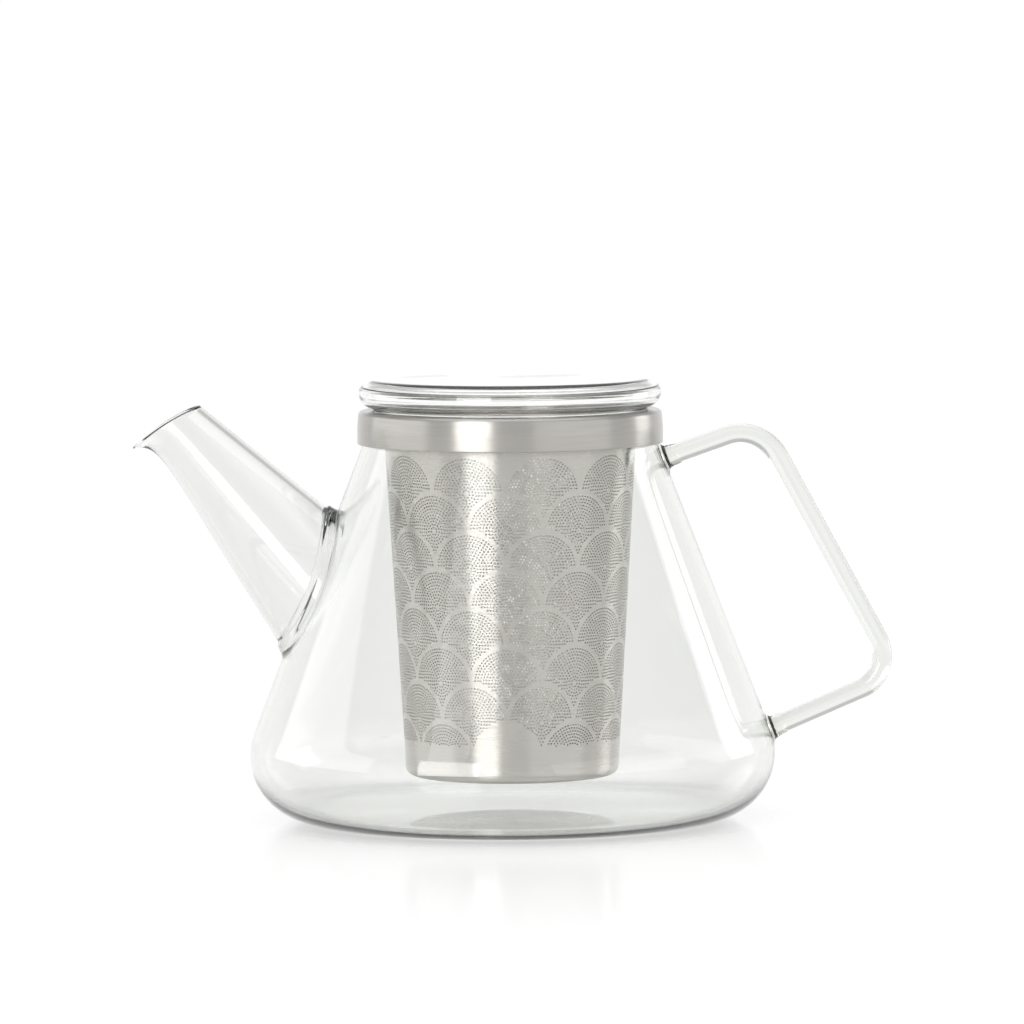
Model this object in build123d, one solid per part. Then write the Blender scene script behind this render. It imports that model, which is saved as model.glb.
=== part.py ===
from build123d import *
import math
import os

# A glass teapot with a steel sieve that hangs in its neck, and a glass lid that sits in the sieve's collar.
# Millimetres, +Z up. The pot stands on Z = 0 round the Z axis. Its spout is towards -X and its handle towards +X.

# Blown pot
pot_height = 122.5  # base to the rim of the neck
body_radius = 79.4  # outside, at the widest place just above the base
heel_radius = 19.4  # outside of the round corner between the base and the cone
neck_radius = 44.4  # outside of the straight neck
neck_length = 9.0  # straight part above the cone
neck_blend = 5.0  # where the cone turns into the neck
glass_wall = 1.8
floor_thickness = 2.4
rim_round = 0.8  # melted edges of the neck's rim

# Drawn spout, its sizes given where its axis meets the cone
spout_below_neck = 40.4  # of that point below the foot of the neck
spout_rise = 49.0  # degrees that its axis rises above level
spout_radius = 19.3  # outside
spout_half_angle = 9.55  # degrees of taper each side
spout_wall = 1.6
spout_length = 61.0  # along the axis to the top of the mouth
lip_length = 21.0  # the flared end of that length
lip_tilt = 9.7  # degrees that the mouth leans back from square
lip_throw = 5.6  # how far the beak is drawn out below
lip_sections = 4

# Melted joints: a band round the spout's foot and a pad at each end of the handle
seam_width = 3.6
seam_thickness = 2.4
seam_slope = 0.09  # how fast the band thins out along the spout
pad_radius = 4.7
pad_length = 3.6
pad_slope = 0.38

# Handle bent from solid rod. Its corners are where the straight runs would cross.
rod_radius = 3.0
handle_below_neck = 5.0  # from the foot of the neck to the upper joint
upper_reach = 29.3  # level distance from the upper joint to the upper corner
upper_rise = 10.2
upper_bend = 13.0
lower_reach = 38.3  # level distance from the lower joint to the lower corner
lower_rise = 16.4
lower_bend = 11.0

# Steel collar: a channel turned over the neck, with a shelf inside that the lid stands on
steel_sheet = 0.6
collar_taper = 0.4  # how much narrower the top is
collar_corner = 1.2
collar_gap = 1.1  # round the outside of the neck
neck_clearance = 0.4  # inside the neck
seat_gap = 0.3  # under the collar's top and under the lid
shelf_depth = 5.0  # top of the collar to the face of the shelf
shelf_width = 3.5
flange_length = 2.6  # turned down round the top of the sieve

# Sieve: a conical wall and a drawn cup that closes it
sieve_sheet = 0.4
sieve_draft = 6.1  # how much narrower the bottom is
sieve_floor_gap = 10.6  # above the floor of the pot
cup_height = 4.5
cup_corner = 3.2

# Blown lid: a flat top, a round hollow rim and a plug that goes into the collar
lid_inset = 0.5  # how much narrower than the collar
lid_rim_radius = 4.5
lid_wall = 1.6
lid_gap = 0.9  # between the rim and the top of the collar
lid_clearance = 0.5  # between the plug and the collar
lid_blend = 0.6

# Allowances of the modelling
full_round = 0.98  # share of a full half-round that two fillets may take
foot_overrun = 18.0  # how far the spout's form runs on into the pot before it is trimmed
bore_overrun = 26.0  # the same for its bore
mouth_overrun = 6.0  # how far the bore runs on past the mouth

# The cone runs from the foot of the neck to a tangent on the heel.
neck_foot = pot_height - neck_length
heel_centre = body_radius - heel_radius
heel_distance = math.hypot(heel_centre - neck_radius, neck_foot - heel_radius)
heel_bearing = math.atan2(heel_centre - neck_radius, neck_foot - heel_radius)
cone_angle = heel_bearing + math.asin(heel_radius / heel_distance)
heel_corner = neck_radius + neck_foot * math.tan(cone_angle)
heel_top = heel_radius * (1 + math.sin(cone_angle))
spout_height = neck_foot - spout_below_neck

# Heights and radii of the pieces that stand in the neck
collar_top = pot_height + seat_gap + steel_sheet
collar_radius = neck_radius + collar_gap + steel_sheet
sleeve_radius = neck_radius - glass_wall - neck_clearance
collar_bore = sleeve_radius - steel_sheet
shelf_top = collar_top - shelf_depth
sieve_top = shelf_top - steel_sheet
sieve_bottom = floor_thickness + sieve_floor_gap
sieve_top_radius = collar_bore - shelf_width
sieve_foot_radius = sieve_top_radius - sieve_draft
sieve_slope = sieve_draft / (sieve_top - sieve_bottom)
lid_radius = collar_radius - lid_inset
lid_underside = collar_top + lid_gap
lid_top = lid_underside + 2 * lid_rim_radius
plug_radius = collar_bore - lid_clearance
plug_bottom = shelf_top + seat_gap


def cone_radius(height):
    """The outside radius of the pot's cone at a height."""
    return neck_radius + (neck_foot - height) * math.tan(cone_angle)


def sieve_radius(height):
    """The outside radius of the sieve at a height."""
    return sieve_foot_radius + (height - sieve_bottom) * sieve_slope


def turned(corners):
    """Turn a closed outline of (radius, height, rounding) corners about the axis."""
    points = [(radius, height) for radius, height, rounding in corners]
    roundings = [rounding for radius, height, rounding in corners]
    outline = FilletPolyline(*points, radius=roundings, close=True)
    return revolve(Plane.XZ * make_face(outline), Axis.Z)


def solid_pot(skin=0.0):
    """The pot filled up to its rim, with a skin added outside."""
    side = skin / math.cos(cone_angle)
    return turned(
        [
            (0, 0 - skin, 0),
            (heel_corner + side + skin * math.tan(cone_angle), 0 - skin, heel_radius + skin),
            (neck_radius + skin, neck_foot + skin * math.tan(cone_angle / 2), neck_blend - skin),
            (neck_radius + skin, pot_height, 0),
            (0, pot_height, 0),
        ]
    )


def spout_station(distance):
    """A point on the spout's axis, at a distance from the pot's cone."""
    rise = math.radians(spout_rise)
    out = cone_radius(spout_height) + distance * math.cos(rise)
    return Vector(-out, 0, spout_height + distance * math.sin(rise))


def spout_width(distance, inset):
    """The spout's radius there, less an inset."""
    return spout_radius - distance * math.tan(math.radians(spout_half_angle)) - inset


def spout_plane(distance):
    """A plane square to the spout's axis there."""
    return Plane(spout_station(distance), x_dir=(0, 1, 0), z_dir=spout_station(1) - spout_station(0))


def lip_section(distance, inset, lift=0.0):
    """One oval section of the flared end. Its top stays on the tube while its foot is drawn out."""
    share = (distance - spout_length + lip_length) / lip_length
    axis = spout_station(1) - spout_station(0)
    upward = axis.rotate(Axis.Y, 90)
    top = spout_station(distance) + upward * spout_width(distance, inset)
    tilt = lip_tilt * share**2
    downward = (-upward).rotate(Axis.Y, tilt)
    reach = 2 * spout_width(distance, inset) + lip_throw * share**3
    centre = top + downward * reach / 2 + axis * lift
    section = Plane(centre, x_dir=downward, z_dir=downward.rotate(Axis.Y, 90))
    return section * Ellipse(reach / 2, spout_width(distance, inset))


def spout_filled(inset=0.0, foot=-foot_overrun, lift=0.0):
    """The spout as a filled form: a cone from inside the pot, then a loft to the mouth."""
    start = spout_length - lip_length
    barrel = loft(
        [
            spout_plane(foot) * Circle(spout_width(foot, inset)),
            spout_plane(start) * Circle(spout_width(start, inset)),
        ]
    )
    stations = [start + lip_length * step / (lip_sections - 1) for step in range(lip_sections)]
    ovals = [lip_section(station, inset) for station in stations]
    flare = loft(ovals)
    if lift:
        flare += loft([ovals[-1], lip_section(spout_length, inset, lift)])
    return barrel + flare


def spout_bore():
    """The space inside the spout, run on past both its ends."""
    return spout_filled(inset=spout_wall, foot=-bore_overrun, lift=mouth_overrun)


def glass_body():
    """The blown pot: base, round heel, cone and neck, with a hole where the spout is joined."""
    wall_side = glass_wall / math.cos(cone_angle)
    inner_heel = heel_radius - floor_thickness
    inner_corner = heel_corner - floor_thickness * math.tan(cone_angle) - wall_side
    shell = turned(
        [
            (0, 0, 0),
            (heel_corner, 0, heel_radius),
            (neck_radius, neck_foot, neck_blend),
            (neck_radius, pot_height, rim_round),
            (neck_radius - glass_wall, pot_height, rim_round),
            (
                neck_radius - glass_wall,
                neck_foot - glass_wall * math.tan(cone_angle / 2),
                neck_blend + glass_wall,
            ),
            (inner_corner, floor_thickness, inner_heel),
            (0, floor_thickness, 0),
        ]
    )
    return shell - spout_bore()


def spout():
    """The drawn tube with its pouring lip, its foot shaped to the cone."""
    return spout_filled() - solid_pot() - spout_bore()


def spout_seam():
    """The melted band round the spout's foot."""
    stations = (-foot_overrun, foot_overrun)
    skins = [seam_thickness - station * seam_slope for station in stations]
    flare = loft(
        [
            spout_plane(station) * Circle(spout_width(station, -skin))
            for station, skin in zip(stations, skins)
        ]
    )
    band = flare & solid_pot(seam_width)
    return band - solid_pot() - spout_filled()


def handle_points():
    """The two joints and the two corners of the handle, from the top down."""
    top_height = neck_foot - handle_below_neck
    top = Vector(cone_radius(top_height), 0, top_height)
    upper_corner = top + Vector(upper_reach, 0, upper_rise)
    foot = Vector(cone_radius(heel_top), 0, heel_top)
    lower_corner = foot + Vector(lower_reach, 0, lower_rise)
    return top, upper_corner, lower_corner, foot


def handle_rod():
    """The whole bent rod, its ends run on into the glass of the pot."""
    top, upper_corner, lower_corner, foot = handle_points()
    top_end = top - (upper_corner - top).normalized() * rod_radius
    foot_end = foot - (lower_corner - foot).normalized() * rod_radius
    path = FilletPolyline(
        top_end, upper_corner, lower_corner, foot_end, radius=[upper_bend, lower_bend]
    )
    section = Plane(top_end, z_dir=upper_corner - top) * Circle(rod_radius)
    return sweep(section, path)


def handle():
    """The rod, with both ends shaped to the pot."""
    return handle_rod() - solid_pot()


def handle_pad(joint, corner):
    """The melted pad round one end of the rod."""
    outward = (corner - joint).normalized()
    pad = loft(
        [
            Plane(joint + outward * station, z_dir=outward) * Circle(pad_radius - station * pad_slope)
            for station in (-pad_length, pad_length)
        ]
    )
    return pad - solid_pot() - handle_rod()


def collar():
    """The sheet channel: a skirt outside the neck, a sleeve inside it, a shelf and a short flange."""
    skirt_bottom = neck_foot
    flange_bottom = sieve_top - flange_length
    return turned(
        [
            (collar_radius, skirt_bottom, 0),
            (collar_radius - collar_taper, collar_top, collar_corner),
            (collar_bore, collar_top, steel_sheet),
            (collar_bore, shelf_top, 0),
            (sieve_radius(shelf_top), shelf_top, 0),
            (sieve_radius(flange_bottom), flange_bottom, 0),
            (sieve_radius(flange_bottom) + steel_sheet, flange_bottom, 0),
            (sieve_radius(sieve_top) + steel_sheet, sieve_top, 0),
            (sleeve_radius, sieve_top, 0),
            (sleeve_radius, collar_top - steel_sheet, 0),
            (
                collar_radius - collar_taper - steel_sheet,
                collar_top - steel_sheet,
                collar_corner - steel_sheet,
            ),
            (collar_radius - steel_sheet, skirt_bottom, 0),
        ]
    )


def sieve_wall():
    """The conical wall, a plain sheet here."""
    seam = sieve_bottom + cup_height
    return turned(
        [
            (sieve_radius(sieve_top), sieve_top, 0),
            (sieve_radius(sieve_top) - sieve_sheet, sieve_top, 0),
            (sieve_radius(seam) - sieve_sheet, seam, 0),
            (sieve_radius(seam), seam, 0),
        ]
    )


def sieve_base():
    """The drawn cup that closes the wall."""
    seam = sieve_bottom + cup_height
    floor = sieve_bottom + sieve_sheet
    return turned(
        [
            (0, sieve_bottom, 0),
            (sieve_foot_radius, sieve_bottom, cup_corner),
            (sieve_radius(seam), seam, 0),
            (sieve_radius(seam) - sieve_sheet, seam, 0),
            (sieve_radius(floor) - sieve_sheet, floor, cup_corner - sieve_sheet),
            (0, floor, 0),
        ]
    )


def lid():
    """The blown lid, hollow and open at the foot of its plug."""
    round_rim = lid_rim_radius * full_round
    plug_round = lid_wall / 2 * full_round
    hollow_round = round_rim - lid_wall
    return turned(
        [
            (0, lid_top, 0),
            (lid_radius, lid_top, round_rim),
            (lid_radius, lid_underside, round_rim),
            (plug_radius, lid_underside, lid_blend),
            (plug_radius, plug_bottom, plug_round),
            (plug_radius - lid_wall, plug_bottom, plug_round),
            (plug_radius - lid_wall, lid_underside + lid_wall, lid_blend),
            (lid_radius - lid_wall, lid_underside + lid_wall, hollow_round),
            (lid_radius - lid_wall, lid_top - lid_wall, hollow_round),
            (0, lid_top - lid_wall, 0),
        ]
    )


top_joint, upper_corner, lower_corner, foot_joint = handle_points()
nodes = {
    "glass_body": glass_body(),
    "spout": spout(),
    "spout_seam": spout_seam(),
    "handle": handle(),
    "handle_pad_upper": handle_pad(top_joint, upper_corner),
    "handle_pad_lower": handle_pad(foot_joint, lower_corner),
    "collar": collar(),
    "sieve_wall": sieve_wall(),
    "sieve_base": sieve_base(),
    "lid": lid(),
}

os.makedirs("parts", exist_ok=True)
for name, piece in nodes.items():
    piece.label = name
    export_step(piece, os.path.join("parts", name + ".step"))
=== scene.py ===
import bmesh
import bpy
import numpy as np
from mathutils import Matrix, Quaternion, Vector, geometry


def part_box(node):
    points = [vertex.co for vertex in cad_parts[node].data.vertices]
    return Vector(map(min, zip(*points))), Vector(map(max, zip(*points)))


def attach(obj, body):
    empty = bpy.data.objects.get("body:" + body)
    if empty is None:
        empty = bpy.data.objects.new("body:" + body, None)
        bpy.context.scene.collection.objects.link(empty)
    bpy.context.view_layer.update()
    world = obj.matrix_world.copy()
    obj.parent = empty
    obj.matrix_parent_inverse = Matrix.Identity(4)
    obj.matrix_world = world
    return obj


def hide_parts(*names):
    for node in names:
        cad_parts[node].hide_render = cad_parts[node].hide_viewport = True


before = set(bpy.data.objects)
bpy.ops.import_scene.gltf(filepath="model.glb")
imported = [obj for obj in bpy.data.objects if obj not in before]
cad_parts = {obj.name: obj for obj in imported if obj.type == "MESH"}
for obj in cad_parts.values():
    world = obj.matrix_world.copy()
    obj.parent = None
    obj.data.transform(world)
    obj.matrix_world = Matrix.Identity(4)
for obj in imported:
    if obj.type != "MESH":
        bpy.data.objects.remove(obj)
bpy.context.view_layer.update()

# Glass pot. Borosilicate glass, blown in a mould: a flat base, a round heel, a cone and a straight neck. The
# spout, drawn out of a tube, and the handle, bent from a rod, are melted on in the flame, so the whole pot is
# one piece of glass with an outer and an inner skin.
mm = 0.001
body_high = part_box("glass_body")[1]
pot_height = body_high.z
body_radius = body_high.y
heel_radius = 19.4 * mm
neck_radius = 44.4 * mm
neck_length = 9.0 * mm
neck_blend = 5.0 * mm
glass_wall = 1.8 * mm
floor_thickness = 2.4 * mm
rim_round = 0.8 * mm
base_kick = 0.9 * mm  # the base stands a little hollow
base_ring = 58.0 * mm  # radius of the ring that it stands on
ring_margin = 3.0 * mm
pole_radius = 1.0 * mm  # the skins close to a point inside this
pot_columns = 192
pot_step = 1.5 * mm
arc_step = np.radians(8)
edge_rows = 12  # rows by the rim and by the base where no tube crosses the inner skin
lead_rows = 4  # rows between the edge of an opening and its bead
halvings = 40

neck_foot = pot_height - neck_length
heel_centre = body_radius - heel_radius
heel_distance = np.hypot(heel_centre - neck_radius, neck_foot - heel_radius)
heel_bearing = np.arctan2(heel_centre - neck_radius, neck_foot - heel_radius)
cone_angle = heel_bearing + np.arcsin(heel_radius / heel_distance)
cone_slope = np.tan(cone_angle)
heel_corner = neck_radius + neck_foot * cone_slope
heel_top = heel_radius * (1 + np.sin(cone_angle))


def straight(start, end, step):
    """Points from start to end, evenly spaced about a step apart, without the first."""
    steps = max(1, int(np.ceil(np.linalg.norm(end - start) / step)))
    return start + (end - start) * np.linspace(0, 1, steps + 1)[1:, None]


def outline(corners, step):
    """A line through (x, y, rounding) corners. At each corner an arc touches both runs: it starts the
    rounding times the tangent of half the turn before the corner, and turns about a centre one rounding to
    the side."""
    places = np.array([corner[:2] for corner in corners], float)
    roundings = [corner[2] for corner in corners[1:]]
    line = [places[:1]]
    for before, corner, after, rounding in zip(places, places[1:], places[2:], roundings):
        into = (corner - before) / np.linalg.norm(corner - before)
        out = (after - corner) / np.linalg.norm(after - corner)
        turn = np.arccos(np.clip(into @ out, -1, 1))
        side = np.sign(into[0] * out[1] - into[1] * out[0])
        start = corner - into * rounding * np.tan(turn / 2)
        line.append(straight(line[-1][-1], start, step))
        if rounding > 0:
            steps = max(int(np.ceil(turn / arc_step)), int(np.ceil(rounding * turn / step)))
            angles = np.linspace(0, turn, steps + 1)[1:, None]
            across = side * np.array([-into[1], into[0]])
            line.append(start + rounding * (across * (1 - np.cos(angles)) + into * np.sin(angles)))
    line.append(straight(line[-1][-1], places[-1], step))
    return np.concatenate(line)


def turned(profile, angles):
    """Points of a profile of (radius, height) turned about the upright axis: radius times the cosine and the
    sine of each angle, at the profile's height."""
    radius, height = profile[..., 0:1], profile[..., 1:2]
    return np.stack(
        np.broadcast_arrays(radius * np.cos(angles), radius * np.sin(angles), height), -1
    )


class Skin:
    """Grids of points that share their edges, and the faces between them, for one closed mesh."""

    def __init__(self):
        self.points, self.faces, self.count = [], [], 0

    def add(self, places):
        """Numbers new points, in the shape of their grid."""
        size = places[..., 0].size
        self.points.append(places.reshape(-1, 3))
        self.count += size
        return np.arange(self.count - size, self.count).reshape(places.shape[:-1])

    def cover(self, grid, keep=None):
        """Four-sided faces between the rows of a grid that closes on itself sideways."""
        grid = np.concatenate([grid, grid[:, :1]], 1)
        faces = np.stack([grid[:-1, :-1], grid[:-1, 1:], grid[1:, 1:], grid[1:, :-1]], -1)
        self.faces += (faces.reshape(-1, 4) if keep is None else faces[keep]).tolist()

    def close(self, ring, place):
        """A fan of triangles from a ring to one point on the axis."""
        tip = self.add(np.array([place], float))[0]
        self.faces += np.stack([ring, np.roll(ring, -1), np.full_like(ring, tip)], -1).tolist()

    def build(self, name):
        """The mesh object, without the points that no face uses, and with its faces turned outwards."""
        points = np.concatenate(self.points)
        used = np.unique(np.concatenate([np.ravel(face) for face in self.faces]))
        number = np.zeros(len(points), int)
        number[used] = np.arange(len(used))
        mesh = bpy.data.meshes.new(name)
        mesh.from_pydata(points[used], [], [number[face].tolist() for face in self.faces])
        work = bmesh.new()
        work.from_mesh(mesh)
        bmesh.ops.recalc_face_normals(work, faces=work.faces)
        work.to_mesh(mesh)
        work.free()
        mesh.shade_smooth()
        piece = bpy.data.objects.new(name, mesh)
        bpy.context.scene.collection.objects.link(piece)
        return piece


wall_side = glass_wall / np.cos(cone_angle)
inner_corner = heel_corner - floor_thickness * cone_slope - wall_side
inner_foot = neck_foot - glass_wall * np.tan(cone_angle / 2)
pot_profile = outline(
    [
        (pole_radius, 0, 0),
        (heel_corner, 0, heel_radius),
        (neck_radius, neck_foot, neck_blend),
        (neck_radius, pot_height, rim_round),
        (neck_radius - glass_wall, pot_height, rim_round),
        (neck_radius - glass_wall, inner_foot, neck_blend + glass_wall),
        (inner_corner, floor_thickness, heel_radius - floor_thickness),
        (pole_radius, floor_thickness, 0),
    ],
    pot_step,
)
rim_row = int(np.argmax(pot_profile[:, 1]))
base_share = np.clip(1 - (pot_profile[:, 0] / base_ring) ** 2, 0, 1) ** 2
pot_profile[:, 1] += base_kick * base_share * (pot_profile[:, 1] < heel_radius / 2)
pot_rows = np.arange(len(pot_profile))
pot_angles = np.linspace(-np.pi / 2, 3 * np.pi / 2, pot_columns, endpoint=False)
spout_column, handle_column = 3 * pot_columns // 4, pot_columns // 4

pot_skin = Skin()
pot_grid = pot_skin.add(turned(pot_profile, pot_angles))
pot_cells = np.ones(pot_grid.shape - np.array([1, 0]), bool)


def on_pot(row, angle):
    """The point of the skin at a row, which may be a part of one, and an angle round the axis."""
    radius = np.interp(row, pot_rows, pot_profile[:, 0])
    height = np.interp(row, pot_rows, pot_profile[:, 1])
    return np.stack([radius * np.cos(angle), radius * np.sin(angle), height], -1)


# The rows between which a tube may cross the skin from outside and from inside.
outside = slice(int(np.argmax(pot_profile[:rim_row, 0] > base_ring + ring_margin)), rim_row)
inside = slice(rim_row + edge_rows, rim_row + int(np.argmin(pot_profile[rim_row:, 1])) - edge_rows)


def crossing(tube, side, near, far):
    """Where each line along a tube goes through one side of the pot: the distance along the tube at which the
    point's own radius is that of the skin at its height, found by halving, with its row and angle on the
    skin."""
    order = np.argsort(pot_profile[side, 1])
    radii, heights = pot_profile[side][order].T
    rows = pot_rows[side][order]
    low, high = near, far
    for _ in range(halvings):
        middle = (low + high) / 2
        place = tube(middle)
        out = np.hypot(place[:, 0], place[:, 1]) > np.interp(place[:, 2], heights, radii)
        low, high = np.where(out, low, middle), np.where(out, middle, high)
    place = tube(low)
    angle = np.mod(np.arctan2(place[:, 1], place[:, 0]) + np.pi / 2, 2 * np.pi) - np.pi / 2
    return low, np.interp(place[:, 2], heights, rows), angle


def window(rows, column, wide, tall, first):
    """The edge of a rectangular opening left in the pot's grid, listed round its middle from the side where
    the rows go up (first = 1) or down (first = -1)."""
    middle = int(round((rows.min() + rows.max()) / 2))
    down, across = np.mgrid[-tall // 2 : tall // 2 + 1, -wide // 2 : wide // 2 + 1]
    edge = (abs(down) == tall // 2) | (abs(across) == wide // 2)
    down, across = down[edge], across[edge]
    turn = np.arctan2(across / wide, first * down / tall)
    order = np.argsort(np.mod(turn + 1e-6, 2 * np.pi))
    pot_cells[middle - tall // 2 : middle + tall // 2, column - wide // 2 : column + wide // 2] = False
    return middle + down[order], column + across[order]


def weld(tube, edge, found, bead):
    """The melted joint between an opening's edge and a tube. A bead is a line of (distance out on the pot,
    distance up the tube): each row is the pot's point that far out, plus how far the tube has gone from the
    crossing."""
    distance, row, angle = found
    edge_row, edge_angle = edge[0], pot_angles[edge[1]]
    reach = np.linalg.norm(on_pot(edge_row, edge_angle) - on_pot(row, angle), axis=-1)
    lead = np.linspace(1, 0, lead_rows + 1)[:-1, None]
    bead_out = np.broadcast_to(bead[:, :1], (len(bead), len(row)))
    out = np.concatenate([bead[0, 0] + lead * (reach - bead[0, 0]), bead_out])
    up = np.concatenate([0 * lead, bead[:, 1:]])
    share = out / reach
    on_skin = on_pot(row + share * (edge_row - row), angle + share * (edge_angle - angle))
    return on_skin + tube(distance + up) - tube(distance)


# Spout. A glass tube drawn to a taper, cut at a slant and flared below into a pouring lip. It is melted on
# over an opening in the cone, where the glass runs together in a thick seam.
spout_below_neck = 40.4 * mm
spout_rise = np.radians(49.0)
spout_radius = 19.3 * mm
spout_taper = np.tan(np.radians(9.55))
spout_wall = 1.6 * mm
spout_length = 61.0 * mm
lip_length = 21.0 * mm
lip_tilt = np.radians(19.0)
lip_back, lip_down = 1.9 * mm, 6.7 * mm  # how far the beak is bent back along the spout and down
lip_growth = 6.5  # how late it is bent
lip_pinch = 2.6  # how narrow it is
lip_crowding = 0.8  # how much closer the rows get towards the mouth
seam_width = 3.6 * mm
seam_thickness = 1.7 * mm
spout_wide, spout_tall = 28, 38
spout_steps, lip_steps, rim_steps = 26, 24, 7
joint_reach = 16.0 * mm  # the joint lies within this of the spout's foot, up and down its axis

spout_axis = np.array([-np.cos(spout_rise), 0, np.sin(spout_rise)])
spout_up = np.array([np.sin(spout_rise), 0, np.cos(spout_rise)])
spout_side = np.array([0, -1.0, 0])
spout_height = neck_foot - spout_below_neck
spout_foot = np.array([-(neck_radius + spout_below_neck * cone_slope), 0, spout_height])
spout_turn = np.linspace(0, 2 * np.pi, 2 * (spout_wide + spout_tall), endpoint=False)


def spout_line(inset):
    """The spout's skin, less an inset: a circle about the axis that narrows with the distance. Over the lip
    the circle leans forward about its top, and its foot is bent down to a beak by a high power of the share
    gone."""

    def place(distance):
        share = np.clip((distance - spout_length + lip_length) / lip_length, 0, 1)[..., None]
        width = (spout_radius - distance * spout_taper - inset)[..., None]
        tilt = lip_tilt * share**2
        top = spout_foot + spout_axis * distance[..., None] + spout_up * width
        down = spout_axis * np.sin(tilt) - spout_up * np.cos(tilt)
        fall = (1 - np.cos(spout_turn))[:, None]
        beak = share**lip_growth * (fall / 2) ** lip_pinch
        bend = -(spout_axis * lip_back + spout_up * lip_down) * beak
        return top + down * width * fall + bend + spout_side * width * np.sin(spout_turn)[:, None]

    return place


spout_out, spout_in = spout_line(0.0), spout_line(spout_wall)
spout_far = np.full(len(spout_turn), joint_reach)
seam_bead = outline(
    [
        (seam_thickness + 1.2 * mm, 0, 0),
        (seam_thickness, 0, 0.7 * mm),
        (seam_thickness - 0.5 * mm, seam_width - 0.5 * mm, 0.9 * mm),
        (0, seam_width + 0.2 * mm, 0.8 * mm),
        (0, seam_width + 2.0 * mm, 0),
    ],
    0.5 * mm,
)
bore_bead = outline([(2.4 * mm, 0, 0), (0, 0, 1.6 * mm), (0, 3.2 * mm, 0)], 0.6 * mm)
outer_cross = crossing(spout_out, outside, -spout_far, spout_far)
inner_cross = crossing(spout_in, inside, -spout_far, spout_far)
outer_edge = window(outer_cross[1], spout_column, spout_wide, spout_tall, 1)
inner_edge = window(inner_cross[1], spout_column, spout_wide, spout_tall, -1)
outer_weld = weld(spout_out, outer_edge, outer_cross, seam_bead)
inner_weld = weld(spout_in, inner_edge, inner_cross, bore_bead)


def along_spout(start):
    """Distances from an uneven ring near the weld to the even mouth, in steps that shorten over the lip."""
    rise = np.linspace(0, 1, spout_steps + 1)[1:, None]
    barrel = start + (spout_length - lip_length - start) * rise
    lip_share = np.linspace(0, 1, lip_steps + 1)[1:, None] ** lip_crowding
    lip = spout_length - lip_length + lip_length * lip_share
    return np.concatenate([barrel, np.broadcast_to(lip, (lip_steps, len(start)))])


outer_tube = spout_out(along_spout(outer_cross[0] + seam_bead[-1, 1]))
inner_tube = spout_in(along_spout(inner_cross[0] + bore_bead[-1, 1]))
mouth_out = spout_axis * np.cos(lip_tilt) + spout_up * np.sin(lip_tilt)
rim_turn = np.linspace(0, np.pi, rim_steps + 1)[1:-1, None, None]
rim_middle = (outer_tube[-1] + inner_tube[-1]) / 2
rim_half = (outer_tube[-1] - inner_tube[-1]) / 2
mouth_rim = rim_middle + rim_half * np.cos(rim_turn) + mouth_out * spout_wall / 2 * np.sin(rim_turn)
spout_rows = np.concatenate([outer_weld[1:], outer_tube, mouth_rim, inner_tube[::-1], inner_weld[:0:-1]])
pot_skin.cover(
    np.concatenate([pot_grid[outer_edge][None], pot_skin.add(spout_rows), pot_grid[inner_edge][None]])
)

# Handle. A solid glass rod, bent twice in the flame and melted on below the neck and above the heel, with a
# small soft pad of glass at each end.
rod_radius = 3.0 * mm
handle_below_neck = 5.0 * mm
upper_reach, upper_rise, upper_bend = 29.3 * mm, 10.2 * mm, 13.0 * mm
lower_reach, lower_rise, lower_bend = 38.3 * mm, 16.4 * mm, 11.0 * mm
rod_overrun = 8.0 * mm
rod_step = 0.9 * mm
pad_wide, pad_tall = 8, 10
upper_pad, lower_pad = 1.5 * mm, 1.9 * mm  # how far each pad spreads out on the pot
pad_length = 6.0 * mm
end_margin = 1.0 * mm

rod_turn = np.linspace(0, 2 * np.pi, 2 * (pad_wide + pad_tall), endpoint=False)
top_joint = np.array([neck_radius + handle_below_neck * cone_slope, neck_foot - handle_below_neck])
foot_joint = np.array([neck_radius + (neck_foot - heel_top) * cone_slope, heel_top])
upper_corner = top_joint + [upper_reach, upper_rise]
lower_corner = foot_joint + [lower_reach, lower_rise]
top_end = top_joint + (top_joint - upper_corner) * rod_overrun / np.hypot(upper_reach, upper_rise)
foot_end = foot_joint + (foot_joint - lower_corner) * rod_overrun / np.hypot(lower_reach, lower_rise)
rod_centre = outline(
    [(*top_end, 0), (*upper_corner, upper_bend), (*lower_corner, lower_bend), (*foot_end, 0)], rod_step / 3
)
rod_gone = np.concatenate([[0], np.cumsum(np.linalg.norm(np.diff(rod_centre, axis=0), axis=1))])
rod_heading = np.gradient(rod_centre, rod_gone, axis=0)


def rod(distance):
    """A circle about the bent centre line, square to its heading."""
    x, z = (np.interp(distance, rod_gone, rod_centre[:, axis]) for axis in (0, 1))
    ahead_x, ahead_z = (np.interp(distance, rod_gone, rod_heading[:, axis]) for axis in (0, 1))
    up, side = rod_radius * np.cos(rod_turn), rod_radius * np.sin(rod_turn)
    return np.stack(np.broadcast_arrays(x - ahead_z * up, side, z + ahead_x * up), -1)


def pad_bead(spread):
    """The line of a soft pad that spreads out on the pot and runs up the rod."""
    return outline(
        [
            (spread + 0.9 * mm, 0, 0),
            (spread / 4, 0.7 * mm, 1.4 * mm),
            (0, 4.6 * mm, 2.6 * mm),
            (0, pad_length, 0),
        ],
        0.4 * mm,
    )


def rod_far(distance):
    """The same rod, measured from its foot."""
    return rod(rod_gone[-1] - distance)


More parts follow.
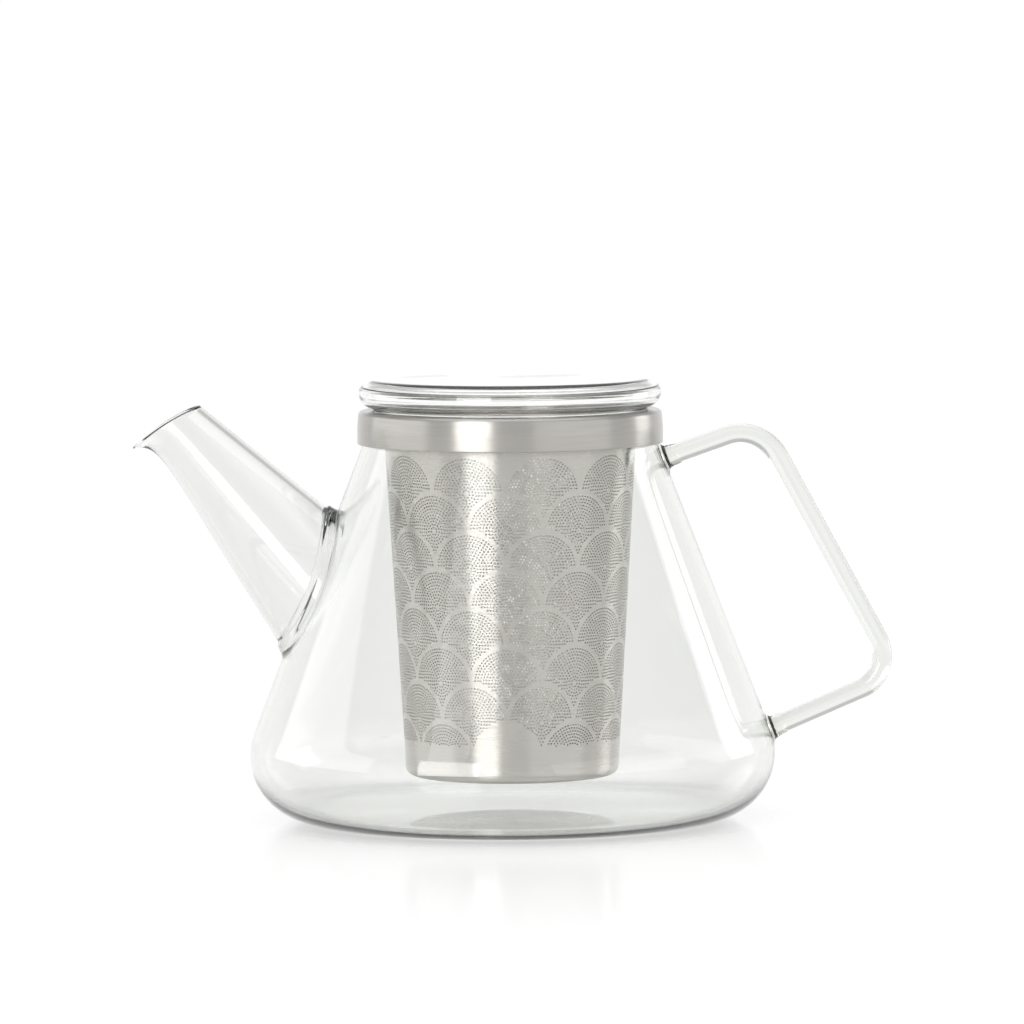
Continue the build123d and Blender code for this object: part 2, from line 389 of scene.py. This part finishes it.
rod_low = np.full(len(rod_turn), end_margin)
rod_high = np.full(len(rod_turn), 2 * rod_overrun)
top_cross = crossing(rod, outside, rod_low, rod_high)
foot_cross = crossing(rod_far, outside, rod_low, rod_high)
top_edge = window(top_cross[1], handle_column, pad_wide, pad_tall, 1)
foot_edge = window(foot_cross[1], handle_column, pad_wide, pad_tall, -1)
top_weld = weld(rod, top_edge, top_cross, pad_bead(upper_pad))
foot_weld = weld(rod_far, foot_edge, foot_cross, pad_bead(lower_pad))
rod_start = top_cross[0] + pad_length
rod_finish = rod_gone[-1] - foot_cross[0] - pad_length
rod_steps = int((rod_finish - rod_start).mean() / rod_step)
rod_share = np.linspace(0, 1, rod_steps + 1)[1:-1, None]
rod_rows = rod(rod_start + (rod_finish - rod_start) * rod_share)
pot_skin.cover(
    np.concatenate(
        [
            pot_grid[top_edge][None],
            pot_skin.add(np.concatenate([top_weld[1:], rod_rows, foot_weld[:0:-1]])),
            pot_grid[foot_edge][None],
        ]
    )
)
pot_skin.cover(pot_grid, pot_cells)
pot_skin.close(pot_grid[0], (0, 0, pot_profile[0, 1]))
pot_skin.close(pot_grid[-1], (0, 0, pot_profile[-1, 1]))
pot = pot_skin.build("pot_glass")

# Clear glass of the pot and the lid. It has almost no colour: a green tint shows only where light goes a long
# way in it, at edges and in the rod, and an olive stain marks the places where the handle was melted on.
glass_colour = (0.972, 0.973, 0.969, 1.0)
glass_tint = (0.10, 0.16, 0.02, 1.0)
olive = (0.95, 0.955, 0.88, 1.0)
pot_density, lid_density = 30.0, 12.0
refraction = 1.47
ripple_scale, ripple_depth, ripple_strength = 14.0, 0.35 * mm, 0.35  # the unevenness of blowing
smear_scale, smear_roughness = 60.0, 0.02
stain_out = 1.0 * mm
top_stain, foot_stain = 7.0 * mm, 8.0 * mm


class Signal:
    """A number that varies over a surface. Sums on it add Math nodes."""

    def __init__(self, finish, socket):
        self.finish, self.socket = finish, socket

    def sum(self, operation, first, second=0.0):
        return self.finish.node("ShaderNodeMath", {"operation": operation}, {0: first, 1: second})

    def __add__(self, other):
        return self.sum("ADD", self, other)

    def __sub__(self, other):
        return self.sum("SUBTRACT", self, other)

    def __rsub__(self, other):
        return self.sum("SUBTRACT", other, self)

    def __mul__(self, other):
        return self.sum("MULTIPLY", self, other)

    __radd__, __rmul__ = __add__, __mul__

    def step(self, start, end):
        """0 up to start and 1 past end, with a soft slope between."""
        ends = {"Value": self, "From Min": start, "From Max": end}
        return self.finish.node("ShaderNodeMapRange", {"interpolation_type": "SMOOTHSTEP"}, ends)


class Finish:
    """The nodes of one material, with a Principled surface, or of the room."""

    def __init__(self, owner):
        self.owner = owner
        owner.use_nodes = True
        self.tree = owner.node_tree
        self.tree.nodes.clear()

    def node(self, kind, settings=None, sockets=None, output=0):
        """Adds a node: its settings first, then the values or links of its sockets. Gives one output."""
        made = self.tree.nodes.new(kind)
        for name, value in (settings or {}).items():
            setattr(made, name, value)
        for name, value in (sockets or {}).items():
            if isinstance(value, Signal):
                self.tree.links.new(value.socket, made.inputs[name])
            else:
                made.inputs[name].default_value = value
        return Signal(self, made.outputs[output]) if made.outputs else made

    def place(self):
        """The object's own coordinates."""
        return self.node("ShaderNodeTexCoord", output="Object")

    def noise(self, scale, detail, stretch=(1, 1, 1)):
        """Cloudy noise, whose grain may be stretched along an axis."""
        where = self.node("ShaderNodeMapping", sockets={"Vector": self.place(), "Scale": stretch})
        grain = {"Vector": where, "Scale": scale, "Detail": detail}
        return self.node("ShaderNodeTexNoise", sockets=grain)

    def blend(self, share, first, second):
        """A colour between two, by a share."""
        return self.node("ShaderNodeMix", {"data_type": "RGBA"}, {0: share, 6: first, 7: second}, 2)

    def near(self, point, reach):
        """1 at a point, falling to 0 at a reach from it."""
        ends = {0: self.place(), 1: point}
        gap = self.node("ShaderNodeVectorMath", {"operation": "DISTANCE"}, ends, "Value")
        return 1 - gap.step(0.0, reach)

    def bump(self, height, depth, strength):
        """Relief of a depth in metres."""
        relief = {"Height": height, "Distance": depth, "Strength": strength}
        return self.node("ShaderNodeBump", sockets=relief)

    def surface(self, sockets, volume=None):
        """Closes a material: a Principled surface, and inside it a volume that takes up light."""
        shader = self.node("ShaderNodeBsdfPrincipled", sockets=sockets)
        sockets = {"Surface": shader}
        if volume:
            sockets["Volume"] = self.node("ShaderNodeVolumeAbsorption", sockets=volume)
        self.node("ShaderNodeOutputMaterial", sockets=sockets)
        return self.owner


def clear_glass(name, density, welds=()):
    """Clear glass, rippled by the blowing and a little smeared, with a stain that fades out round a weld."""
    finish = Finish(bpy.data.materials.new(name))
    colour = glass_colour
    for point, reach in welds:
        colour = finish.blend(finish.near(point, reach), colour, olive)
    ripple = finish.noise(ripple_scale, 1.0, (1, 1, 0.5))
    smear = finish.noise(smear_scale, 3.0)
    return finish.surface(
        {
            "Base Color": colour,
            "Roughness": smear.step(0.5, 0.9) * smear_roughness,
            "IOR": refraction,
            "Transmission Weight": 1.0,
            "Normal": finish.bump(ripple, ripple_depth, ripple_strength),
        },
        {"Color": glass_tint, "Density": density},
    )


weld_places = [
    ((top_joint[0] + stain_out, 0, top_joint[1]), top_stain),
    ((foot_joint[0] + stain_out, 0, foot_joint[1]), foot_stain),
]
pot.data.materials.append(clear_glass("pot_clear_glass", pot_density, weld_places))
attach(pot, "pot")
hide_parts("glass_body", "spout", "spout_seam", "handle", "handle_pad_upper", "handle_pad_lower")

# Lid. Blown glass: a flat top, a hollow round rim that overhangs the collar, and a short plug, open below,
# that stands on the shelf inside the collar.
lid_low, lid_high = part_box("lid")
collar_low, collar_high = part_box("collar")
collar_top = collar_high.z
lid_radius = lid_high.x
lid_top = lid_high.z
plug_bottom = lid_low.z
plug_radius = 41.1 * mm
lid_rim_radius = 4.5 * mm
lid_wall = 1.6 * mm
lid_underside = lid_top - 2 * lid_rim_radius
lid_columns = 160
lid_crown = 0.5 * mm  # the top is a little full in the middle
lid_bend = 0.8 * mm
nearly = 0.98  # of the largest rounding that there is room for

hollow_round = lid_rim_radius - lid_wall
lid_profile = outline(
    [
        (pole_radius, lid_top, 0),
        (lid_radius, lid_top, lid_rim_radius * nearly),
        (lid_radius, lid_underside, lid_rim_radius * nearly),
        (plug_radius, lid_underside, lid_bend),
        (plug_radius, plug_bottom, lid_wall / 2 * nearly),
        (plug_radius - lid_wall, plug_bottom, lid_wall / 2 * nearly),
        (plug_radius - lid_wall, lid_underside + lid_wall, lid_bend),
        (lid_radius - lid_wall, lid_underside + lid_wall, hollow_round * 0.7),
        (lid_radius - lid_wall, lid_top - lid_wall, hollow_round * nearly),
        (pole_radius, lid_top - lid_wall, 0),
    ],
    1.2 * mm,
)
crown = np.clip(1 - (lid_profile[:, 0] / lid_radius) ** 2, 0, 1) - 1
lid_profile[:, 1] += lid_crown * crown * (lid_profile[:, 1] > lid_top - 2 * lid_wall)
lid_angles = np.linspace(0, 2 * np.pi, lid_columns, endpoint=False)
lid_skin = Skin()
lid_grid = lid_skin.add(turned(lid_profile, lid_angles))
lid_skin.cover(lid_grid)
lid_skin.close(lid_grid[0], (0, 0, lid_profile[0, 1]))
lid_skin.close(lid_grid[-1], (0, 0, lid_profile[-1, 1]))
lid = lid_skin.build("lid_glass")
lid.data.materials.append(clear_glass("lid_clear_glass", lid_density))
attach(lid, "lid")
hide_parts("lid")

# Collar. Stainless steel sheet, spun to a channel that hangs over the neck, with a shelf for the lid and a
# flange that holds the sieve. It is brushed round its axis.
steel_sheet = 0.6 * mm
collar_taper = 0.4 * mm
collar_corner = 1.2 * mm
sleeve_radius = 42.2 * mm
collar_bore = sleeve_radius - steel_sheet
shelf_top = collar_top - 5.0 * mm
sieve_low, sieve_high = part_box("sieve_wall")
base_low, base_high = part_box("sieve_base")
sieve_top, sieve_seam, sieve_bottom = sieve_high.z, sieve_low.z, base_low.z
sieve_slope = (sieve_high.x - base_high.x) / (sieve_top - sieve_seam)
flange_bottom = sieve_top - 2.6 * mm
sheet_edge = 0.25 * mm
collar_columns = 192
collar_colour, collar_roughness, collar_grain, collar_relief = (0.41, 0.40, 0.38, 1), 0.31, 4500.0, 0.2
scratch_stretch = (0.02, 0.02, 1)  # scratches run on round the axis
scratch_depth = 0.02 * mm
scratch_shade = (0.94, 0.93, 0.91, 1)  # the steel is a little warmer and darker in a scratch
scratch_roughness, cloud_roughness = 0.10, 0.05
mean_roughness = 0.08  # about what the two add
cloud_scale = 40.0


def sieve_radius(height):
    """The outside radius of the sieve's cone at a height."""
    return sieve_high.x + (height - sieve_top) * sieve_slope


collar_profile = outline(
    [
        (collar_high.x, (collar_low.z + collar_top) / 2, 0),
        (collar_high.x - collar_taper, collar_top, collar_corner),
        (collar_bore, collar_top, steel_sheet),
        (collar_bore, shelf_top, 0.3 * mm),
        (sieve_radius(shelf_top), shelf_top, 0.4 * mm),
        (sieve_radius(flange_bottom), flange_bottom, sheet_edge),
        (sieve_radius(flange_bottom) + steel_sheet, flange_bottom, sheet_edge),
        (sieve_radius(sieve_top) + steel_sheet, sieve_top, 0.2 * mm),
        (sleeve_radius, sieve_top, 0.4 * mm),
        (sleeve_radius, collar_top - steel_sheet, 0.2 * mm),
        (collar_high.x - collar_taper - steel_sheet, collar_top - steel_sheet, collar_corner - steel_sheet),
        (collar_high.x - steel_sheet, collar_low.z, sheet_edge),
        (collar_high.x, collar_low.z, sheet_edge),
        (collar_high.x, (collar_low.z + collar_top) / 2, 0),
    ],
    1.0 * mm,
)
collar_angles = np.linspace(0, 2 * np.pi, collar_columns, endpoint=False)
collar_skin = Skin()
collar_grid = collar_skin.add(turned(collar_profile[:-1], collar_angles))
collar_skin.cover(np.concatenate([collar_grid, collar_grid[:1]]))
collar = collar_skin.build("collar_steel")


def brushed_steel(name, colour, roughness, grain, relief):
    """Stainless steel brushed round the upright axis: fine level scratches in its roughness and relief, and
    reflections drawn out square to them. A cloudy noise carries the faint unevenness of handling."""
    finish = Finish(bpy.data.materials.new(name))
    scratch = finish.noise(grain, 3.0, scratch_stretch)
    cloud = finish.noise(cloud_scale, 2.0)
    warm = tuple(np.array(colour) * scratch_shade)
    uneven = scratch * scratch_roughness + cloud * cloud_roughness
    return finish.surface(
        {
            "Base Color": finish.blend(scratch.step(0.3, 0.7), colour, warm),
            "Metallic": 1.0,
            "Roughness": uneven + (roughness - mean_roughness),
            "Anisotropic": 0.9,
            "Anisotropic Rotation": 0.25,
            "Normal": finish.bump(scratch, scratch_depth, relief),
        }
    )


collar.data.materials.append(
    brushed_steel("collar_brushed_steel", collar_colour, collar_roughness, collar_grain, collar_relief)
)
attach(collar, "infuser")
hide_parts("collar")

# Sieve cup. The closed foot of the sieve: stainless steel sheet, drawn to a shallow cup with a round corner,
# pressed onto the foot of the wall and brushed with it.
sieve_sheet = 0.4 * mm
cup_corner = 3.2 * mm
cup_edge = 0.15 * mm
cup_proud = 0.05 * mm  # the cup stands out from the wall by this much
sieve_colour, sieve_roughness, sieve_grain, sieve_relief = (0.62, 0.605, 0.58, 1), 0.29, 9000.0, 0.06

cup_radius = sieve_radius(sieve_bottom)
cup_floor = sieve_bottom + sieve_sheet
cup_profile = outline(
    [
        (pole_radius, sieve_bottom, 0),
        (cup_radius, sieve_bottom, cup_corner),
        (sieve_radius(sieve_seam) + cup_proud, sieve_seam, cup_edge),
        (sieve_radius(sieve_seam) - sieve_sheet, sieve_seam, cup_edge),
        (sieve_radius(cup_floor) - sieve_sheet, cup_floor, cup_corner - sieve_sheet),
        (pole_radius, cup_floor, 0),
    ],
    0.8 * mm,
)
cup_skin = Skin()
cup_grid = cup_skin.add(turned(cup_profile, collar_angles))
cup_skin.cover(cup_grid)
cup_skin.close(cup_grid[0], (0, 0, cup_profile[0, 1]))
cup_skin.close(cup_grid[-1], (0, 0, cup_profile[-1, 1]))
cup = cup_skin.build("sieve_cup")
sieve_finish = brushed_steel("sieve_brushed_steel", sieve_colour, sieve_roughness, sieve_grain, sieve_relief)
cup.data.materials.append(sieve_finish)
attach(cup, "infuser")
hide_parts("sieve_base")

# Sieve wall. Thin stainless steel, etched with fine round holes in overlapping fans, ten round and eight rows
# down, and rolled to a cone. It is made as five panels that meet along the plain arcs between the fans.
fan_count, fan_rows, panel_count = 10, 8, 5
fan_pitch = 2 * np.pi / fan_count
fan_start = np.radians(-20.6)  # from the front of the pot to the first fan
fan_height = 11.45 * mm
first_centre = sieve_top - 17.55 * mm
level_line = 24.3 * mm  # the holes stop here
blank_fan = 0  # this fan of the lowest row has no holes
arc_parts = 12
hole_sides = 6
# The rest is in a fan's own measure, in which its dome has a radius of 1.
ring_top, ring_gap, hole_gap = 0.905, 0.081, 0.0873
hole_radius = 0.0265
hole_margin = 1.055  # from the middle of a fan below to the nearest hole
below_all = -2
plain_low, plain_high, plain_side, plain_margin = -0.9, 0.97, 0.94, 0.03
plain_columns, plain_rows = 17, 9

quarter = np.linspace(0, np.pi / 2, arc_parts + 1)
dome = np.concatenate(
    [
        np.stack([-np.cos(quarter), np.sin(quarter)], -1),
        np.stack([np.sin(quarter), np.cos(quarter)], -1)[1:],
    ]
)
hollow = np.concatenate([dome[arc_parts:] + [-1, -1], dome[: arc_parts + 1] + [1, -1]])
hollow = np.delete(hollow, arc_parts + 1, 0)


def fan_holes(lowest):
    """The middles of the holes of one fan: rings about its centre, each with holes a gap apart, and only what
    lies clear of the two fans below and above a lowest level."""
    found = []
    for ring, radius in enumerate(np.arange(ring_top, ring_gap / 2, -ring_gap)):
        count = max(1, int(round(2 * np.pi * radius / hole_gap)))
        turn = (np.arange(count) + ring % 2 / 2) * 2 * np.pi / count
        found.append(radius * np.stack([np.sin(turn), np.cos(turn)], -1))
    found = np.concatenate(found)
    clear = np.minimum(*(np.linalg.norm(found - [side, -1], axis=1) for side in (-1, 1))) > hole_margin
    return found[clear & (found[:, 1] > lowest)]


def fan_sheet(border, middles, fill):
    """Triangles of a flat sheet inside a border, with a hole at each middle. Loose points fill the plain
    parts."""
    turn = (np.arange(hole_sides) + 0.5) * 2 * np.pi / hole_sides
    rims = middles[:, None] + hole_radius * np.stack([np.cos(turn), np.sin(turn)], -1)
    numbers = len(border) + np.arange(rims[..., 0].size).reshape(-1, hole_sides)
    points = np.concatenate([border, rims.reshape(-1, 2), fill])
    faces = [list(range(len(border)))] + numbers.tolist()
    places, _, triangles, _, _, origin = geometry.delaunay_2d_cdt(
        [Vector(point) for point in points], [], faces, 1, 1e-6, True
    )
    kept = [triangle for triangle, inside in zip(triangles, origin) if list(inside) == [0]]
    return np.array([tuple(place) for place in places]), np.array(kept)


def plain_points(low, high, border_top, border_low):
    """Evenly spaced points between two borders that are functions of the sideways place."""
    columns = np.linspace(-plain_side, plain_side, plain_columns)
    across, up = (grid.ravel() for grid in np.meshgrid(columns, np.linspace(low, high, plain_rows)))
    clear = (up < border_top(across) - plain_margin) & (up > border_low(across) + plain_margin)
    return np.stack([across, up], -1)[clear]


def dome_line(across):
    """The top of a fan: a half circle about its centre."""
    return np.sqrt(1 - np.clip(across**2, 0, 1))


def hollow_line(across):
    """The foot of a fan: quarter circles, the tops of the two fans below."""
    return np.sqrt(1 - (1 - abs(across)) ** 2) - 1


def level(height):
    """A level border at a height."""
    return lambda across: 0 * across + height


def fan_level(height, row):
    """A real height in the measure of a row's fans."""
    return (height - first_centre) / fan_height + row


across_steps = np.linspace(-1, 1, 2 * arc_parts + 1)
band_top = fan_level(sieve_top, -1)
band_foot = fan_level(sieve_seam, fan_rows - 1)
top_edge_line = np.stack([across_steps, 0 * across_steps + band_top], -1)[::-1]
foot_edge_line = np.stack([across_steps, 0 * across_steps + band_foot], -1)[::-1]
no_holes = np.zeros((0, 2))
fan_border = np.concatenate([hollow, dome[-2:0:-1]])
whole_fan = fan_sheet(fan_border, fan_holes(below_all), no_holes)
low_fan = fan_sheet(fan_border, fan_holes(fan_level(level_line, fan_rows - 2)), no_holes)
foot_border = np.concatenate([foot_edge_line[::-1], dome[::-1]])
foot_level = fan_level(level_line, fan_rows - 1)
foot_fill = plain_points(band_foot, foot_level, level(foot_level), level(band_foot))
foot_fan = fan_sheet(foot_border, fan_holes(foot_level), foot_fill)
plain_fan = fan_sheet(foot_border, no_holes, plain_points(band_foot, plain_high, dome_line, level(band_foot)))
top_fill = plain_points(plain_low, band_top, level(band_top), hollow_line)
top_band = fan_sheet(np.concatenate([hollow, top_edge_line]), no_holes, top_fill)


def sheet_for(row, fan):
    """The sheet that stands at one place of the pattern. Row -1 is the plain band above the first fans."""
    if row < 0:
        return top_band
    if row == fan_rows - 1:
        return plain_fan if fan == blank_fan else foot_fan
    return low_fan if row == fan_rows - 2 else whole_fan


def rolled(points, inset):
    """Flat points rolled to the sieve's cone: sideways becomes an angle from the front, and up stays up."""
    turn, height = points[:, 0] * fan_pitch / 2, points[:, 1] * fan_height
    radius = sieve_radius(height) - inset
    return np.stack([radius * np.sin(turn), -radius * np.cos(turn), height], -1)


def panel_sheet(panel):
    """The flat points and the triangles of one panel: two fans side by side in each row, every other row half
    a fan further round, with the points that neighbours share made one."""
    points, triangles, count = [], [], 0
    for row in range(-1, fan_rows):
        for fan in (2 * panel, 2 * panel + 1):
            places, kept = sheet_for(row, fan)
            across = fan_start / (fan_pitch / 2) + 2 * fan + row % 2
            points.append(places + [across, first_centre / fan_height - row])
            triangles.append(kept + count)
            count += len(places)
    points, triangles = np.concatenate(points), np.concatenate(triangles)
    whole = np.round(points * 1e5).astype(int)
    _, first, same = np.unique(whole, axis=0, return_index=True, return_inverse=True)
    return points[first], same.reshape(-1)[triangles]


def open_edges(triangles, number):
    """The edges that belong to one triangle only, round the panel and round each hole."""
    edges = np.concatenate([triangles[:, [0, 1]], triangles[:, [1, 2]], triangles[:, [2, 0]]])
    key = np.sort(edges, 1) @ [number, 1]
    _, where, times = np.unique(key, return_index=True, return_counts=True)
    return edges[where[times == 1]]


def corner_normals(points, outer, inner, triangles, rim):
    """A direction for each corner of each face: outwards as the cone leans, the same inwards, and square to
    each wall of a hole."""
    across = points[:, 0] * fan_pitch / 2
    lean = np.arctan(sieve_slope)
    level_out = np.cos(lean)
    out = np.stack([np.sin(across) * level_out, -np.cos(across) * level_out, 0 * across - np.sin(lean)], -1)
    face = np.cross(inner[rim[:, 0]] - outer[rim[:, 0]], outer[rim[:, 1]] - outer[rim[:, 0]])
    face /= np.linalg.norm(face, axis=1)[:, None]
    return np.concatenate([out[triangles.ravel()], -out[triangles[:, ::-1].ravel()], np.repeat(face, 4, 0)])


for panel in range(panel_count):
    points, triangles = panel_sheet(panel)
    number = len(points)
    rim = open_edges(triangles, number)
    walls = np.stack([rim[:, 0], rim[:, 0] + number, rim[:, 1] + number, rim[:, 1]], -1)
    outer, inner = rolled(points, 0), rolled(points, sieve_sheet)
    faces = triangles.tolist() + (triangles[:, ::-1] + number).tolist() + walls.tolist()
    mesh = bpy.data.meshes.new(f"sieve_panel_{panel + 1}")
    mesh.from_pydata(np.concatenate([outer, inner]), [], faces)
    mesh.shade_smooth()
    mesh.normals_split_custom_set(corner_normals(points, outer, inner, triangles, rim))
    mesh.use_auto_texspace = False
    mesh.texspace_location = (0, 0, (sieve_top + sieve_seam) / 2)
    mesh.texspace_size = (sieve_high.x, sieve_high.x, (sieve_top - sieve_seam) / 2)
    mesh.materials.append(sieve_finish)
    piece = bpy.data.objects.new(mesh.name, mesh)
    bpy.context.scene.collection.objects.link(piece)
    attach(piece, "infuser")
    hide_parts("sieve_wall")

# Stage. A pale light table that runs on to the horizon: white acrylic, lit from below, and polished where the
# pot stands.
floor_size = 40.0
floor_drop = 0.15 * mm
acrylic_colour, acrylic_glow = (0.18, 0.18, 0.18, 1), 0.80
polish_roughness, polish_reach, polish_share = 0.12, 0.36, 0.4

floor_corners = np.array([(-1, -1), (1, -1), (1, 1), (-1, 1)]) * floor_size
floor_mesh = bpy.data.meshes.new("table")
floor_mesh.from_pydata([(x, y, -floor_drop) for x, y in floor_corners], [], [(0, 1, 2, 3)])
floor = bpy.data.objects.new("table", floor_mesh)
bpy.context.scene.collection.objects.link(floor)
floor_finish = Finish(bpy.data.materials.new("light_table"))
lit_acrylic = floor_finish.node(
    "ShaderNodeBsdfPrincipled",
    sockets={
        "Base Color": acrylic_colour,
        "Roughness": 1.0,
        "Specular IOR Level": 0.0,
        "Emission Color": (1, 1, 1, 1),
        "Emission Strength": acrylic_glow,
    },
)
polish = floor_finish.node(
    "ShaderNodeBsdfPrincipled",
    sockets={"Base Color": (1, 1, 1, 1), "Metallic": 1.0, "Roughness": polish_roughness},
)
polished = floor_finish.near((0, 0, 0), polish_reach) * polish_share
table_surface = floor_finish.node("ShaderNodeMixShader", sockets={0: polished, 1: lit_acrylic, 2: polish})
floor_finish.node("ShaderNodeOutputMaterial", sockets={"Surface": table_surface})
floor_mesh.materials.append(floor_finish.owner)

# Light. A white room: bright at the horizon and overhead and greyer between, with softboxes that draw bright
# lines down the steel and the glass.
horizon_light, middle_light, overhead_light = 1.08, 0.6, 1.75
horizon_end, middle_start, middle_end, overhead_start = 0.18, 0.36, 0.62, 0.88  # sines of the elevation
softbox_distance, softbox_tall = 1.2, 0.5
light_aim = 0.07  # the height that the softboxes look at

room = Finish(bpy.data.worlds.new("room"))
bpy.context.scene.world = room.owner
way = room.node("ShaderNodeTexCoord", output="Generated")
upward = room.node("ShaderNodeSeparateXYZ", sockets={"Vector": way}, output="Z")
glow = (
    upward.step(horizon_end, middle_start) * (middle_light - horizon_light)
    + upward.step(middle_end, overhead_start) * (overhead_light - middle_light)
    + horizon_light
)
sky = room.node("ShaderNodeBackground", sockets={"Color": (1, 1, 1, 1), "Strength": glow})
room.node("ShaderNodeOutputWorld", sockets={"Surface": sky})


def softbox(name, azimuth, elevation, wide, power):
    """A soft rectangular light that looks at the middle of the pot. Its azimuth, in degrees as its elevation,
    is measured from the front."""
    light = bpy.data.lights.new(name, "AREA")
    light.shape, light.size, light.size_y, light.energy = "RECTANGLE", wide, softbox_tall, power
    lamp = bpy.data.objects.new(name, light)
    turn, rise = np.radians(azimuth), np.radians(elevation)
    back = Vector((np.sin(turn) * np.cos(rise), -np.cos(turn) * np.cos(rise), np.sin(rise)))
    lamp.location = Vector((0, 0, light_aim)) + back * softbox_distance
    lamp.rotation_euler = back.to_track_quat("Z", "Y").to_euler()
    lamp.visible_camera = False
    bpy.context.scene.collection.objects.link(lamp)


softbox("key_light", -27.6, 11, 0.56, 4.4)
softbox("glass_light", -30, 34, 0.34, 0.65)
softbox("left_light", -95, 11, 1.4, 2.2)
softbox("right_light", 49, 11, 1.44, 1.5)
softbox("rear_light", 119, 11, 0.415, 1.2)

# Camera. A long lens, far off and a little above the pot, that looks down to it and leans by a fraction of a
# degree.
camera_distance = 2.3
camera_height = 0.262
aim_height = 0.0925
camera_aside = 0.4 * mm
roll = np.radians(0.4)
focal_length, sensor_width = 268.6, 36.0  # in millimetres
farthest = 200.0

lens = bpy.data.cameras.new("camera")
lens.lens, lens.sensor_width = focal_length, sensor_width
lens.clip_end = farthest
camera = bpy.data.objects.new("camera", lens)
bpy.context.scene.collection.objects.link(camera)
camera.location = (camera_aside, -camera_distance, camera_height)
towards = Vector((0, camera_distance, aim_height - camera_height))
camera.rotation_euler = (towards.to_track_quat("-Z", "Y") @ Quaternion((0, 0, 1), -roll)).to_euler()
bpy.context.scene.camera = camera

settings = bpy.context.scene
settings.view_settings.view_transform = "Standard"
settings.cycles.max_bounces = 32
settings.cycles.transmission_bounces = 32
settings.cycles.glossy_bounces = 12
settings.cycles.use_denoising = True
